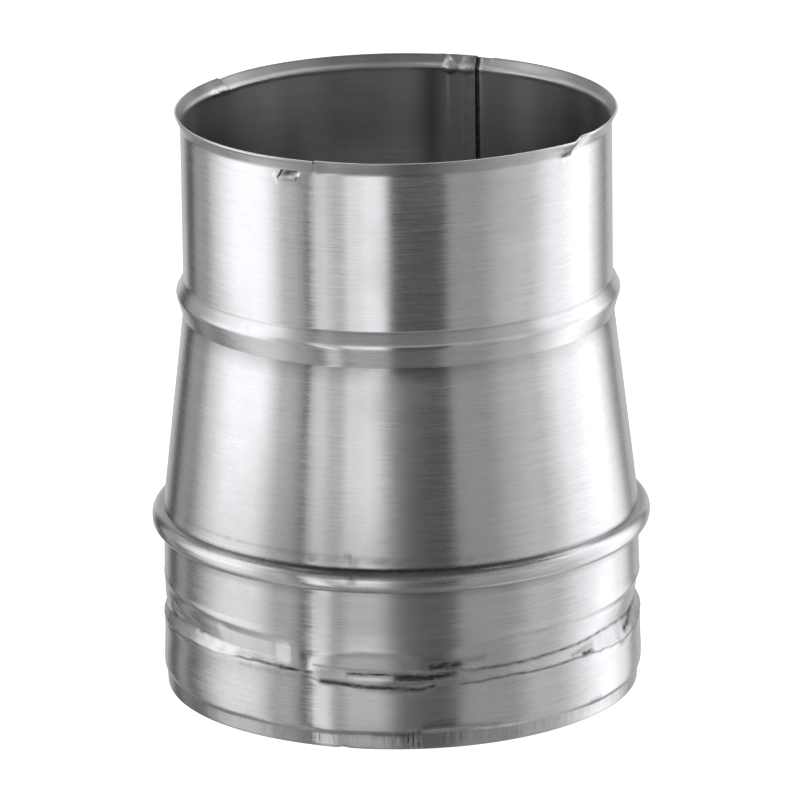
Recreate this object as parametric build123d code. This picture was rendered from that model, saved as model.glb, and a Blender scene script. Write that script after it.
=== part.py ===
from build123d import *
import os
from math import sin, cos, tan, radians, hypot

# ---------------------------------------------------------------------------
# Flue transition adapter: one rolled and formed stainless sheet shell with a
# lapped, welded seam.  Flared twist-lock socket on top, rounded bead, cone,
# large stop bead, twist-lock spigot below.
# Frame: +Z up along the duct axis, origin on the axis at the bottom rim plane.
# Angles "phi" are counted from the front (-Y) towards the right (+X).
# ---------------------------------------------------------------------------

# Driving dimensions, millimetres
SHEET = 0.6            # sheet thickness
HEIGHT = 207.0         # bottom rim to top rim
TUBE_R = 75.0          # outer radius of the upper tube (nominal 150)
COLLAR_R = 84.1        # outer radius of the lower spigot (nominal 168)
COLLAR_TOP_Z = 35.0    # the spigot is cylindrical up to here, then draws in
COLLAR_NECK = (83.7, 41.5)  # radius and height where the draw-in eases off
COLLAR_END_R = 83.5    # radius under the stop bead, same as the cone above it
LIP_Z = 202.4         # where the flared lip starts
LIP_R = 77.1           # outer radius of the rim

MID_BEAD_LO = 135.3    # small bead: lower crease, upper crease, crest
MID_BEAD_HI = 147.7
MID_BEAD_R = 77.5

STOP_BEAD_LO = 57.1    # large stop bead: lower edge, upper edge, crest
STOP_BEAD_HI = 65.1
STOP_BEAD_R = 87.6
CONE_LOW_R = 83.5      # cone radius where it meets the stop bead
CONE_TOP_R = 75.2      # cone radius where it meets the small bead

HEM_Z0, HEM_Z1 = 5.2, 6.8   # shoulder above the drawn-in bottom band
HEM_R0, HEM_R1 = 82.6, 82.9 # band radius at the rim and at the shoulder

POCKET_TOP = 39.6      # upper edge of the pressed twist-lock pockets
LEDGE_DROP = 3.9       # pocket floor to ledge edge, along Z

LAP_PHI = (157.5, 165.0)    # lapped seam, inner free edge and joggle
LAP_STEP = 0.3              # how far the mashed lap stands into the bore
SEAM_GROOVE = 0.22          # depth of the outer seam line
SEAM_GROOVE_DEG = 0.45

# Twist-lock pockets on the spigot: (phi, depth, z of the ledge's outer edge)
POCKET_RIGHT = [(9, -0.06, 23.0), (15, 0.35, 23.2), (26, 1.0, 23.6), (42, 1.45, 24.0),
                (60, 1.85, 24.6), (78, 2.3, 25.1), (94, 2.4, 25.6), (110, 2.05, 26.1),
                (126, 1.6, 26.7), (138, 1.25, 27.1), (146, 0.7, 27.4), (151, -0.06, 27.6)]
POCKET_LEFT = [(192, -0.06, 23.2), (199, 0.4, 23.4), (212, 0.9, 23.8), (230, 1.1, 24.4),
               (248, 1.0, 25.0), (264, 0.85, 25.6), (280, 1.05, 26.1), (296, 1.45, 26.6),
               (312, 1.6, 27.1), (322, 1.45, 27.4), (329, 0.85, 27.7), (334, -0.06, 27.9)]
# Short entry ledges between the pockets: (phi, depth, z of the edge)
ENTRY_FRONT = [(-22.5, -0.06, 24.9), (-17, 0.6, 24.2), (-10, 0.85, 23.2), (-3, 0.8, 22.6),
               (3, 0.5, 22.2), (8, -0.06, 22.0)]
ENTRY_BACK = [(168, -0.06, 24.3), (172, 0.5, 23.7), (177, 0.75, 23.1), (182, 0.7, 22.7),
              (186, 0.45, 22.4), (190.5, -0.06, 22.2)]
ENTRY_TOP = 37.0

# Cuts in the flared lip: (phi at the foot, lean in degrees, foot z, width)
LIP_SLITS = [(51.6, 42.0, 201.2, 0.7), (231.6, 42.0, 201.2, 0.7),
             (-22.4, 12.0, 203.4, 0.5), (152.0, 12.0, 203.4, 0.5)]

TAB_PHI, TAB_Z0, TAB_Z1 = -29.7, 198.4, 202.4  # lanced lock tab under the lip
TAB_W_LOW, TAB_W_TOP, TAB_SLIT = 8.6, 6.4, 0.5

DIMPLE_PHI, DIMPLE_Z = 167.8, 203.8   # pressed lock dimple in the lip, beside the seam
DIMPLE_BALL, DIMPLE_DEPTH = 3.2, 0.85
DIMPLE_WALL = 75.6                    # outer radius of the lip at that height


def direction(phi):
    """Unit vector from the axis at phi, and the tangent towards growing phi."""
    a = radians(phi)
    return Vector(sin(a), -cos(a), 0), Vector(cos(a), sin(a), 0)


def at(phi, r, z):
    d, _ = direction(phi)
    return Vector(d.X * r, d.Y * r, z)


# Control polygon of the outer skin, bottom to top: (radius, z, corner radius)
OUTER = [
    (HEM_R0, 0.0, None),
    (HEM_R1, HEM_Z0, 0.9),
    (COLLAR_R, HEM_Z1, 0.9),
    (COLLAR_R, COLLAR_TOP_Z, 12.0),
    (COLLAR_NECK[0], COLLAR_NECK[1], 12.0),
    (COLLAR_END_R, STOP_BEAD_LO, 0.55),
    (STOP_BEAD_R, STOP_BEAD_LO + 0.3, 2.8),
    (STOP_BEAD_R, STOP_BEAD_HI - 0.3, 3.2),
    (CONE_LOW_R, STOP_BEAD_HI, 0.6),
    (CONE_TOP_R, MID_BEAD_LO, 1.0),
    (MID_BEAD_R, 139.5, 3.6),
    (MID_BEAD_R, 143.3, 3.6),
    (TUBE_R, MID_BEAD_HI, 1.6),
    (TUBE_R, LIP_Z, 4.0),
    (LIP_R, HEIGHT, None),
]


def skin(inset, extend=0.0):
    """Control points and corner radii of the skin moved inwards by inset.

    Each leg moves along its own normal, so the sheet keeps its thickness.
    extend lengthens the first and the last leg past the rims.
    """
    pts = [(r, z) for r, z, _ in OUTER]
    legs = []
    for (r0, z0), (r1, z1) in zip(pts, pts[1:]):
        dr, dz = r1 - r0, z1 - z0
        n = hypot(dr, dz)
        dr, dz = dr / n, dz / n
        # the inside of the sheet is to the left of the upward run
        legs.append((r0 - dz * inset, z0 + dr * inset, dr, dz))
    out = []
    r, z, dr, dz = legs[0]
    k = (-extend - z) / dz
    out.append((r + dr * k, -extend))
    radii = []
    for i in range(1, len(legs)):
        r0, z0, dr0, dz0 = legs[i - 1]
        r1, z1, dr1, dz1 = legs[i]
        den = dr0 * dz1 - dz0 * dr1
        k = ((r1 - r0) * dz1 - (z1 - z0) * dr1) / den
        out.append((r0 + dr0 * k, z0 + dz0 * k))
        # turning left going up means the outside is convex there
        turn = dr0 * dz1 - dz0 * dr1
        f = OUTER[i][2]
        radii.append(f - inset if turn > 0 else f + inset)
    r, z, dr, dz = legs[-1]
    k = (HEIGHT + extend - z) / dz
    out.append((r + dr * k, HEIGHT + extend))
    return out, [max(f, 0.12) for f in radii]


def line(inset, extend=0.0):
    pts, radii = skin(inset, extend)
    return FilletPolyline(*[Vector(r, 0, z) for r, z in pts], radius=radii)


def core(inset, extend=0.0):
    """Full solid of revolution inside the skin at the given inset."""
    w = line(inset, extend)
    low, high = w @ 0, w @ 1
    rest = Polyline(high, Vector(0, 0, high.Z), Vector(0, 0, low.Z), low)
    face = make_face(w.edges() + rest.edges())
    return revolve(face, axis=Axis.Z, revolution_arc=360)


def band(inset_out, inset_in, phi0, phi1, extend=0.0):
    """Strip of sheet between two insets, from phi0 to phi1."""
    a, b = line(inset_out, extend), line(inset_in, extend)
    ends = [Line(a @ 0, b @ 0), Line(a @ 1, b @ 1)]
    face = make_face(a.edges() + b.edges() + ends)
    strip = revolve(face, axis=Axis.Z, revolution_arc=phi1 - phi0)
    return Rot(0, 0, phi0 - 90.0) * strip


def pocket(stations, top, inset):
    """Pressed pocket: slopes inwards from its top edge down to the floor and
    comes back out over a ledge.  Lofted through radial sections."""
    wall = COLLAR_R - inset
    drawn = (top - COLLAR_TOP_Z) / (COLLAR_NECK[1] - COLLAR_TOP_Z)
    wall_top = wall - max(0.0, drawn) * (COLLAR_R - COLLAR_NECK[0])
    wires = []
    for phi, depth, z_edge in stations:
        floor = z_edge + LEDGE_DROP * (0.55 + 0.45 * min(1.0, max(0.0, depth) / 1.2))
        wires.append(Wire.make_polygon([
            at(phi, wall - depth, floor),
            at(phi, wall_top + 0.05, top),
            at(phi, wall + 2.2, top),
            at(phi, wall + 2.2, z_edge),
            at(phi, wall + 0.05, z_edge),
        ], close=True))
    return Solid.make_loft(wires, ruled=False)


# --- sheet shell with the pressed pockets -----------------------------------
outer = core(0.0)
inner = core(SHEET, extend=4.0)
for stations, top in ((POCKET_RIGHT, POCKET_TOP), (POCKET_LEFT, POCKET_TOP),
                      (ENTRY_FRONT, ENTRY_TOP), (ENTRY_BACK, ENTRY_TOP)):
    outer -= pocket(stations, top, 0.0)
    inner -= pocket(stations, top, SHEET)
shell = outer - inner

# --- lapped seam: mashed strip inside, fine line outside ---------------------
shell += band(SHEET - 0.25, SHEET + LAP_STEP, *LAP_PHI)
shell -= band(-0.4, SEAM_GROOVE, LAP_PHI[1], LAP_PHI[1] + SEAM_GROOVE_DEG, extend=1.0)


# --- lip cuts and lanced tab --------------------------------------------------
def blade(phi, z, lean, width, height, r=TUBE_R + 0.6, reach=9.0):
    """Thin cutter standing on (phi, z), leaning towards growing phi."""
    d, t = direction(phi)
    up = Vector(0, 0, 1) * cos(radians(lean)) + t * sin(radians(lean))
    plane = Plane(origin=Vector(d.X * r, d.Y * r, z), x_dir=d, z_dir=up)
    return plane * Box(reach, width, height, align=(Align.CENTER, Align.CENTER, Align.MIN))


for phi, lean, foot, width in LIP_SLITS:
    shell -= blade(phi, foot, lean, width, 14.0)

half = (TAB_W_LOW + TAB_W_TOP) / 4.0
side = hypot(TAB_Z1 - TAB_Z0, (TAB_W_LOW - TAB_W_TOP) / 2.0)
lean = 16.0
d, t = direction(TAB_PHI)
for s in (-1, 1):
    phi = TAB_PHI + s * (TAB_W_LOW / 2.0) / TUBE_R * 57.29578
    shell -= blade(phi, TAB_Z0, -s * lean, TAB_SLIT, side, reach=5.0)
slot = Plane(origin=at(TAB_PHI, TUBE_R, TAB_Z1 - 0.45), x_dir=d, z_dir=Vector(0, 0, 1)) * Box(
    5.0, TAB_W_TOP + 0.4, 0.9)
shell -= slot

# --- pressed dimple ------------------------------------------------------------
ball_r = DIMPLE_WALL - DIMPLE_DEPTH + DIMPLE_BALL
ball = Pos(*at(DIMPLE_PHI, ball_r, DIMPLE_Z)) * Sphere(DIMPLE_BALL)
ball_in = Pos(*at(DIMPLE_PHI, ball_r, DIMPLE_Z)) * Sphere(DIMPLE_BALL + SHEET)
shell += ball_in & core(SHEET / 2.0)
shell -= ball

part = shell.solids().sort_by(SortBy.VOLUME)[-1]

os.makedirs("parts", exist_ok=True)
part.label = "adapter_shell"
export_step(part, "parts/adapter_shell.step")
bb = part.bounding_box()
print("solids", len(shell.solids()), "valid", part.is_valid, "volume", round(part.volume, 1))
print("box", bb.min, bb.max)
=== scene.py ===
import math

import bmesh
import bpy
import numpy as np
from mathutils import Matrix, Vector

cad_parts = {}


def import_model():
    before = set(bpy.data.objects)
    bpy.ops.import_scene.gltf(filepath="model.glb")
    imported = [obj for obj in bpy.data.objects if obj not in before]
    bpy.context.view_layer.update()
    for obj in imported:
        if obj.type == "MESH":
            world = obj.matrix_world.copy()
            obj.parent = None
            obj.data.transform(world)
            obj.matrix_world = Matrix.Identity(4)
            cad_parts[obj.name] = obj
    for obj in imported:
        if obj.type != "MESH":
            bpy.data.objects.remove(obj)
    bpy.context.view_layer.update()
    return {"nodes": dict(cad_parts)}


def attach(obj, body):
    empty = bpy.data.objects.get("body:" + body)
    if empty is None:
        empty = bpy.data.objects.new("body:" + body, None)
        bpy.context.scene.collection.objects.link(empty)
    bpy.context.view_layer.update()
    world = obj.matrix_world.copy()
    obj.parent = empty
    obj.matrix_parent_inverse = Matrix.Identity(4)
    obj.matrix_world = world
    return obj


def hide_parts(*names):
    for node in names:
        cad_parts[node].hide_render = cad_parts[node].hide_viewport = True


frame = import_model()
SCENE = bpy.context.scene
MM = 0.001

# ---------------------------------------------------------------------------
# Sheet shell: one rolled stainless sheet, modelled as a closed skin.
# phi is counted from the front (-Y) towards the right (+X), in degrees.
# All lengths in millimetres until the mesh is written.
# ---------------------------------------------------------------------------
SHEET = 0.6
HEIGHT = 207.0
OUTER = [            # control polygon of the outer skin: radius, z, corner radius
    (82.6, 0.0, None), (82.9, 5.2, 0.9), (84.1, 6.8, 0.9),
    (84.1, 35.0, 12.0), (83.7, 41.5, 12.0), (83.5, 57.1, 0.45),
    (87.6, 57.4, 3.5), (87.6, 64.8, 3.6), (83.5, 65.1, 0.4),
    (75.35, 134.6, 0.9), (77.72, 142.5, 2.6), (75.0, 147.5, 0.5),
    (75.0, 202.4, 4.0), (77.1, 207.0, None),
]


def smooth(a, b, x):
    """0 below a, 1 above b, eased between."""
    t = np.clip((np.asarray(x, float) - a) / (b - a), 0.0, 1.0)
    return t * t * (3.0 - 2.0 * t)


def bump(x, c, w):
    """Soft hill of half width w around c."""
    return np.exp(-((np.asarray(x, float) - c) / w) ** 2)


def wrap(d):
    return (np.asarray(d, float) + 180.0) % 360.0 - 180.0


def spacing(z):
    for top, step in ((9.0, 0.95), (20.5, 2.0), (41.0, 0.5), (57.0, 2.4), (63.0, 0.6), (71.0, 0.62),
                      (132.0, 5.2), (137.0, 0.8), (151.0, 0.8), (195.0, 4.4), (197.5, 0.9), (300.0, 0.42)):
        if z < top:
            return step
    return 1.0


def outer_rows():
    """Rows of the outer skin from bottom to top: radius, z, normal."""
    rows = []
    pts = [np.array(p[:2], float) for p in OUTER]
    dirs = [(b - a) / np.linalg.norm(b - a) for a, b in zip(pts, pts[1:])]
    here = pts[0] + dirs[0] * 0.283
    for i, d in enumerate(dirs):
        last = i == len(dirs) - 1
        if last:
            end = pts[-1] - d * (0.424 / d[1])
        else:
            e = dirs[i + 1]
            cross = d[0] * e[1] - d[1] * e[0]
            turn = math.acos(max(-1.0, min(1.0, float(d @ e))))
            f = OUTER[i + 1][2]
            end = pts[i + 1] - d * (f * math.tan(turn / 2))
        n = np.array([d[1], -d[0]])
        length = float((end - here) @ d)
        t = 0.0
        while t < length - 1e-6:
            p = here + d * t
            rows.append((p[0], p[1], n[0], n[1]))
            step = spacing(p[1])
            left = length - t
            t += left if left < 1.35 * step else step
        if last:
            rows.append((end[0], end[1], n[0], n[1]))
            break
        k = max(2, int(math.ceil(math.degrees(turn) / (7.0 if f > 2 else 16.0))))
        side = np.array([-d[1], d[0]]) * (1.0 if cross > 0 else -1.0)
        for j in range(k):
            a = turn * j / k
            p = end + f * (math.sin(a) * d + (1 - math.cos(a)) * side)
            tg = math.cos(a) * d + math.sin(a) * side
            rows.append((p[0], p[1], tg[1], -tg[0]))
        here = end + f * (math.sin(turn) * d + (1 - math.cos(turn)) * side)
    out = [rows[0]]
    for r in rows[1:]:
        if math.hypot(r[0] - out[-1][0], r[1] - out[-1][1]) > 0.03:
            out.append(r)
    return np.array(out)


ROWS = outer_rows()
R0, Z0, NR, NZ = ROWS.T
NROW = len(ROWS)

# Cuts in the lip: phi at z 204, lean (deg per mm of height), foot z, half width in deg
CUTS = [(53.75, 0.50, 200.9, 0.20), (233.1, 0.60, 202.4, 0.11), (-21.9, 0.16, 205.0, 0.10), (152.0, 0.16, 205.0, 0.05)]
TAB_L, TAB_R, TAB_SLIT = -32.1, -26.9, 0.14
TAB_Z0, TAB_SLOT, TAB_Z1 = 198.9, 201.55, 202.3


def columns():
    phi = list(np.arange(-96.0, 96.01, 0.89))
    phi += list(np.arange(98.5, 150.1, 2.8)) + list(np.arange(151.5, 172.1, 0.75))
    phi += list(np.arange(174.5, 226.1, 2.8)) + list(np.arange(227.2, 240.1, 0.9)) + list(np.arange(242.0, 262.9, 2.8))
    special = [0.65, 1.0, 1.35, 1.85, 2.2, 2.55, 3.2, 3.55, 3.9, 156.1, 156.6, 157.38, 157.52, 162.95, 163.35, 163.8, 164.25, 164.65, 165.0, 165.12, 165.5, 165.95, 166.4, 166.85]
    for c, _, _, h in CUTS:
        special += [c - h, c + h]
    for c in (TAB_L, TAB_R):
        special += [c - TAB_SLIT, c + TAB_SLIT]
    special = [(s + 96.0) % 360.0 - 96.0 for s in special]
    keep = [p for p in phi if min(abs(p - s) for s in special) > 0.3]
    return np.array(sorted(keep + special))


PHI = columns()
NCOL = len(PHI)
rng = np.random.default_rng(7)


def waves(n, lo, hi, zscale):
    """Sum of smooth periodic waves over phi and z, about -1 to 1."""
    k = rng.integers(lo, hi, n)
    w = rng.normal(0, zscale, n)
    p = rng.uniform(0, 2 * math.pi, n)
    a = rng.uniform(0.4, 1.0, n)
    a /= np.sqrt((a ** 2).sum() / 2)

    def f(phi, z):
        out = 0.0
        for ki, wi, pi, ai in zip(k, w, p, a):
            out = out + ai * np.cos(np.radians(phi) * ki + z * wi + pi)
        return out * 0.5
    return f


LOW = waves(9, 2, 9, 0.02)
MID = waves(14, 10, 30, 0.06)
EDGE = waves(16, 22, 70, 0.0)
EDGE2 = waves(16, 30, 90, 0.0)
FINE = waves(26, 50, 120, 0.9)
CRIMP = waves(22, 60, 150, 0.05)

P, Zg = np.meshgrid(PHI, Z0)               # rows x columns
F = wrap(P)                                # -180..180


def curve(points, x):
    xs, ys = zip(*points)
    return np.interp(x, xs, ys)


# Twist-lock ledges on the spigot.  Along phi: depth of the pocket, height of the
# ledge's outer edge, of its inner crease and of the pocket's upper crease.
LONG_L = dict(   # runs from the hidden left side to the front left
    depth=[(-176, 0.0), (-161, 0.4), (-148, 0.9), (-130, 1.1), (-112, 1.0), (-96, 0.9), (-80, 1.05), (-64, 1.4), (-48, 1.55), (-36, 1.45), (-31.5, 1.2), (-29, 0.6), (-27.2, 0.1), (-26, 0.0)],
    edge=[(-176, 23.2), (-130, 24.4), (-96, 25.5), (-77, 25.8), (-60, 26.8), (-50, 27.0), (-43, 28.2), (-34, 28.2), (-29.4, 27.6), (-22, 27.2)],
    crease=[(-176, 25.4), (-130, 27.8), (-96, 28.6), (-81, 29.2), (-72, 30.6), (-59, 31.3), (-48, 30.8), (-42, 30.1), (-33, 30.1), (-27, 30.0), (-22, 29.8)],
    top=[(-176, 37.0), (-130, 39.0), (-76, 40.0), (-67, 39.6), (-49, 38.9), (-35, 38.3), (-29, 38.1), (-24, 37.6)],
    crisp=1.0)
LONG_R = dict(   # runs from the front centre round the right side to the back
    depth=[(9, 0.0), (14, 0.45), (20, 0.9), (30, 1.25), (45, 1.55), (60, 1.95), (76, 2.5), (92, 2.65), (110, 2.1), (126, 1.6), (138, 1.25), (146, 0.7), (151, 0.0)],
    edge=[(9, 23.4), (12, 23.7), (17, 23.8), (25, 24.7), (29, 24.6), (38, 24.4), (45, 24.9), (49, 24.5), (58, 23.8), (66, 22.8), (74, 23.6), (84, 24.6), (96, 25.6), (126, 26.7), (151, 27.6)],
    crease=[(9, 27.6), (17.6, 27.8), (26, 27.8), (33, 28.1), (39, 28.5), (47, 28.8), (57, 29.8), (62, 29.8), (74, 28.8), (88, 28.7), (110, 29.6), (138, 30.3), (151, 29.9)],
    top=[(9, 36.0), (30, 38.6), (46, 38.8), (61, 38.8), (90, 39.4), (126, 39.6), (151, 38.0)])
SHORT_F = dict(  # entry ledge at the front
    depth=[(-23, 0.0), (-19, 0.45), (-14, 0.8), (-6, 0.95), (1, 0.85), (5, 0.6), (9.5, 0.25), (13, 0.0)],
    edge=[(-23, 25.3), (-19.7, 24.6), (-14.4, 24.1), (-9.7, 23.3), (-3.3, 23.0), (3.8, 22.4), (7.6, 23.2), (13, 23.6)],
    crease=[(-23, 27.2), (-14, 27.0), (-3, 26.9), (4.5, 26.6), (13, 26.9)],
    top=[(-23, 33.0), (-10, 35.5), (0, 35.0), (13, 32.0)])
SHORT_B = dict(  # entry ledge at the back
    depth=[(168, 0.0), (172, 0.5), (177, 0.8), (182, 0.75), (186, 0.45), (190.5, 0.0)],
    edge=[(168, 24.3), (172, 23.7), (177, 23.1), (182, 22.7), (190.5, 22.2)],
    crease=[(168, 26.6), (177, 26.6), (190.5, 26.2)],
    top=[(168, 34.0), (179, 36.0), (190.5, 34.0)])


def BARE(phi):
    """Stretch of the left ledge whose edge is rubbed bright."""
    return smooth(-61.0, -57.5, phi) * smooth(-41.5, -45.5, phi)


def ledge(spec, phi, z):
    """Inward displacement of one pocket with its ledge, and how near its two lines are."""
    d = curve(spec["depth"], phi)
    inside = (phi > spec["depth"][0][0]) & (phi < spec["depth"][-1][0])
    d = np.where(inside, d, 0.0)
    e = curve(spec["edge"], phi) + 0.22 * EDGE(phi, 0.0)
    c = curve(spec["crease"], phi) + 0.16 * EDGE2(phi, 0.0)
    t = curve(spec["top"], phi)
    rise = np.clip((z - e) / np.maximum(c - e, 0.3), 0.0, 1.0)
    fall = np.clip((t - z) / np.maximum(t - c, 0.3), 0.0, 1.0)
    q = spec.get("crisp", 0.0) * smooth(-50.0, -46.5, phi)
    frac, tall = 0.36 + 0.46 * q, 1.9 + 0.9 * q
    step = np.clip((t - z) / tall, 0.0, 1.0)
    slope = frac * step + (1.0 - frac) * np.clip((t - tall - z) / np.maximum(t - tall - c, 0.3), 0.0, 1.0)
    shape = np.where(z < c, rise ** 0.8, np.where(d > 0.3, slope, fall ** 0.8))
    # the sheet rolls over at the pocket's upper crease
    roll = 0.10 * bump(z, t + 0.5, 0.9) * np.clip(d, 0, 1)
    # a small burr on the ledge's outer edge, with a pressed line under it
    burr = 0.17 * bump(z, e + 0.15, 0.45) - 0.22 * bump(z, e - 0.85, 0.5)
    burr = burr * np.clip(d / 0.6, 0, 1) * (1.0 - 0.85 * BARE(phi))
    return -d * shape + roll + burr, d, e, c, t


DR = np.zeros_like(P)                      # radial move of the whole sheet
DZ = np.zeros_like(P)
DPHI = np.zeros_like(P)
DR_OUT = np.zeros_like(P)                  # moves of one skin only
DR_IN = np.zeros_like(P)
# dark grime, together with painted shade in creases, gaps, slots and under edges
grime_and_shade = np.zeros_like(P)
stain = np.zeros_like(P)
weld = np.zeros_like(P)
scuff = np.zeros_like(P)
# painted shade: dark lines along creases, the seam gap and the rim at the back
line = np.zeros_like(P)

# spigot: a little wider just above the bottom band, narrower under the ledges
low = (Zg < 57.0)
DR += np.where(low, 0.16 * bump(Zg, 9.5, 4.0) - 0.18 * bump(Zg, 20.0, 4.0), 0.0)
DR += smooth(6.9, 5.4, Zg) * (0.55 * smooth(-25, -80, F) + 0.25 * smooth(40, 80, F))

LEDGES = []
for spec, ang in ((LONG_L, F), (LONG_R, F), (SHORT_F, F), (SHORT_B, np.where(F < 0, F + 360.0, F))):
    m, d, e, c, t = ledge(spec, ang, Zg)
    DR += m
    LEDGES.append((d, e, c, t))
    on = np.clip(d / 0.5, 0, 1)
    ragged = 0.85 + 0.25 * FINE(P, Zg * 0)
    # painted shade lines along each ledge's outer edge and its inner crease, and grime with painted shade under the
    # edge
    line = np.maximum(line, on * (0.45 * smooth(-57, -62, F) + (0.68 + 0.17 * smooth(10, 18, F) - 0.60 * bump(F, 59, 7)) * smooth(-46, -42, F)) * ragged * bump(Zg, e - 0.45, 0.50))
    line = np.maximum(line, on * (0.18 + 0.82 * smooth(11, 21, F) + 0.40 * smooth(-57, -62, F)) * ragged * bump(Zg, c, 0.52))
    grime_and_shade = np.maximum(grime_and_shade, on * 0.30 * smooth(-45, -40, F) * ragged * bump(Zg, e - 0.5, 0.5))
    scuff = np.maximum(scuff, on * smooth(-0.2, 0.5, Zg - e) * smooth(0.2, -0.3, Zg - c) * (1.0 - 0.8 * BARE(F)))


def stroke(points, width, strength, r=83.5):
    """Soft line through (phi, z) points, for grime, painted shade, stain or a dent; width in millimetres."""
    best = np.full(P.shape, 1e9)
    k = r * math.pi / 180.0
    for (a0, z0), (a1, z1) in zip(points, points[1:]):
        ax, ay = a0 * k, z0
        bx, by = a1 * k, z1
        dx, dy = bx - ax, by - ay
        px, py = F * k - ax, Zg - ay
        h = np.clip((px * dx + py * dy) / (dx * dx + dy * dy + 1e-9), 0, 1)
        best = np.minimum(best, np.hypot(px - h * dx, py - h * dy))
    return strength * np.exp(-(best / width) ** 2)


# torn and dirty stretches of the ledges, as the photo shows them: dark grime with painted shade along the ledge lines
for pts, wd, st in (
    ([(-30.5, 27.5), (-25.7, 27.2), (-22.3, 26.8)], 0.75, 1.0),
    ([(-38, 28.2), (-30.5, 27.5)], 0.5, 0.7),
    ([(-13.2, 27.35), (-8, 27.3), (-3.2, 27.4), (2, 26.9)], 0.5, 0.95),
    ([(-21.6, 29.8), (-14.5, 29.1), (-2.5, 28.5), (3, 28.3)], 0.38, 0.5),
    ([(-1.2, 26.3), (4.5, 26.0), (8.5, 26.5), (12.0, 27.3)], 1.35, 1.0),
    ([(1.5, 27.6), (7.5, 28.0), (12, 27.3)], 0.8, 0.70),
    ([(6.6, 29.8), (9.7, 30.4), (12.8, 30.1)], 1.5, 1.0),
    ([(9, 29.2), (16.5, 28.2)], 0.6, 0.7),
    ([(-19.7, 24.2), (-14.4, 23.8), (-9.7, 23.0), (-3.3, 22.8), (3.8, 22.1), (7.6, 23.3)], 0.85, 0.95),
    ([(-4, 24.4), (2, 24.0), (7.5, 24.4)], 0.6, 0.7),
    ([(48.4, 25.0), (49.8, 24.5), (51.4, 25.0)], 0.9, 0.80),
    ([(44.8, 25.8), (52.0, 27.0)], 0.9, 0.42),
    ([(68.8, 25.4), (73, 26.8), (77.5, 29.0), (80.5, 30.8)], 1.3, 0.80),
    ([(-24.2, 30.5), (-23.6, 28.5)], 0.8, 0.40),
):
    grime_and_shade = np.maximum(grime_and_shade, stroke(pts, wd, st))
# painted shade: dark lines along the ledges and at the left pocket's end
for pts, wd, st in (
    ([(-1.2, 26.4), (4.5, 26.2), (8.5, 26.7), (11.5, 27.4)], 1.5, 0.75),
    ([(6.4, 30.2), (9.7, 30.9), (12.8, 30.7)], 1.9, 0.80),
    ([(5.5, 32.4), (12.0, 33.0)], 1.5, 0.35),
    ([(14.8, 31.6), (19.5, 31.9)], 1.3, 0.30),
    ([(-19.7, 24.2), (-14.4, 23.8), (-9.7, 23.0), (-3.3, 22.8), (3.8, 22.1), (7.6, 23.3)], 0.9, 0.70),
    ([(-24.3, 33.0), (-23.8, 30.0), (-23.4, 26.0)], 1.2, 0.50),
):
    line = np.maximum(line, stroke(pts, wd, st))
# local tears: the torn lip of the entry ledge stands up a little
DR += 0.26 * stroke([(-12.5, 25.6), (-1.2, 25.5)], 0.9, 1.0)
scuff *= 1.0 - 0.95 * np.clip(1.5 * stroke([(-12.0, 26.1), (-9.0, 26.0), (-1.6, 25.9)], 0.8, 1.0), 0, 1)
DR -= 0.20 * stroke([(-13, 27.5), (2, 27.2)], 0.6, 1.0)
DR -= 0.18 * stroke([(5.5, 30.2), (14.0, 29.8)], 1.4, 1.0)
DR += 0.30 * stroke([(8, 28.8), (15, 28.4)], 0.8, 1.0)
DR -= 0.5 * stroke([(-0.5, 26.3), (11.5, 26.8)], 0.8, 1.0)
DR -= 0.22 * stroke([(48.0, 24.8), (51.8, 24.8)], 0.9, 1.0)
stain = np.maximum(stain, stroke([(-42, 25.6), (-33.7, 25.2), (-26.6, 25.0)], 0.9, 0.38))
# dents in the left pocket
DR -= 0.45 * stroke([(-74, 33.6), (-66, 32.3), (-58.5, 31.6)], 1.1, 1.0)

# bottom band: uneven shoulder line and faint vertical crimp marks
hem = smooth(8.5, 6.0, Zg)
DR += hem * 0.022 * CRIMP(P, 0.0) * smooth(0.2, 2.0, Zg)
crimp = smooth(0.6, 2.8, Zg) * smooth(7.0, 5.6, Zg) * (0.16 + 0.30 * smooth(-25, 15, F) - 0.30 * bump(F, 50, 12)) * smooth(96, 70, np.abs(F))
DZ += np.where((Zg > 3) & (Zg < 12), bump(Zg, 6.3, 2.4) * (0.75 * bump(F, 9, 10) - 0.5 * bump(F, 58, 14) + 0.9 * bump(F, -74, 10) + 0.2 * MID(P, 0.0)), 0.0)
DZ += np.where(Zg < 0.9, 0.45 * bump(F, -14.6, 1.1), 0.0)
# grime with painted shade along the hem's shoulder line; the thin vertical strokes are dark marks
grime_and_shade = np.maximum(grime_and_shade, 0.30 * bump(Zg, 6.3, 0.7) * (0.5 + 0.5 * MID(P, 0.0)) * (1.0 - 0.9 * bump(F, 53, 16)))
line = np.maximum(line, stroke([(50.8, 6.7), (54.6, 7.0)], 0.8, 0.50, 84.1))
grime_and_shade = np.maximum(grime_and_shade, stroke([(1.0, 6.8), (1.0, 0.5)], 0.5, 1.0, 82.7))
grime_and_shade = np.maximum(grime_and_shade, stroke([(3.55, 7.0), (3.55, 0.4)], 0.55, 1.0, 82.7))
grime_and_shade = np.maximum(grime_and_shade, stroke([(2.2, 6.6), (2.2, 1.2)], 0.5, 1.0, 82.7))
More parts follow.
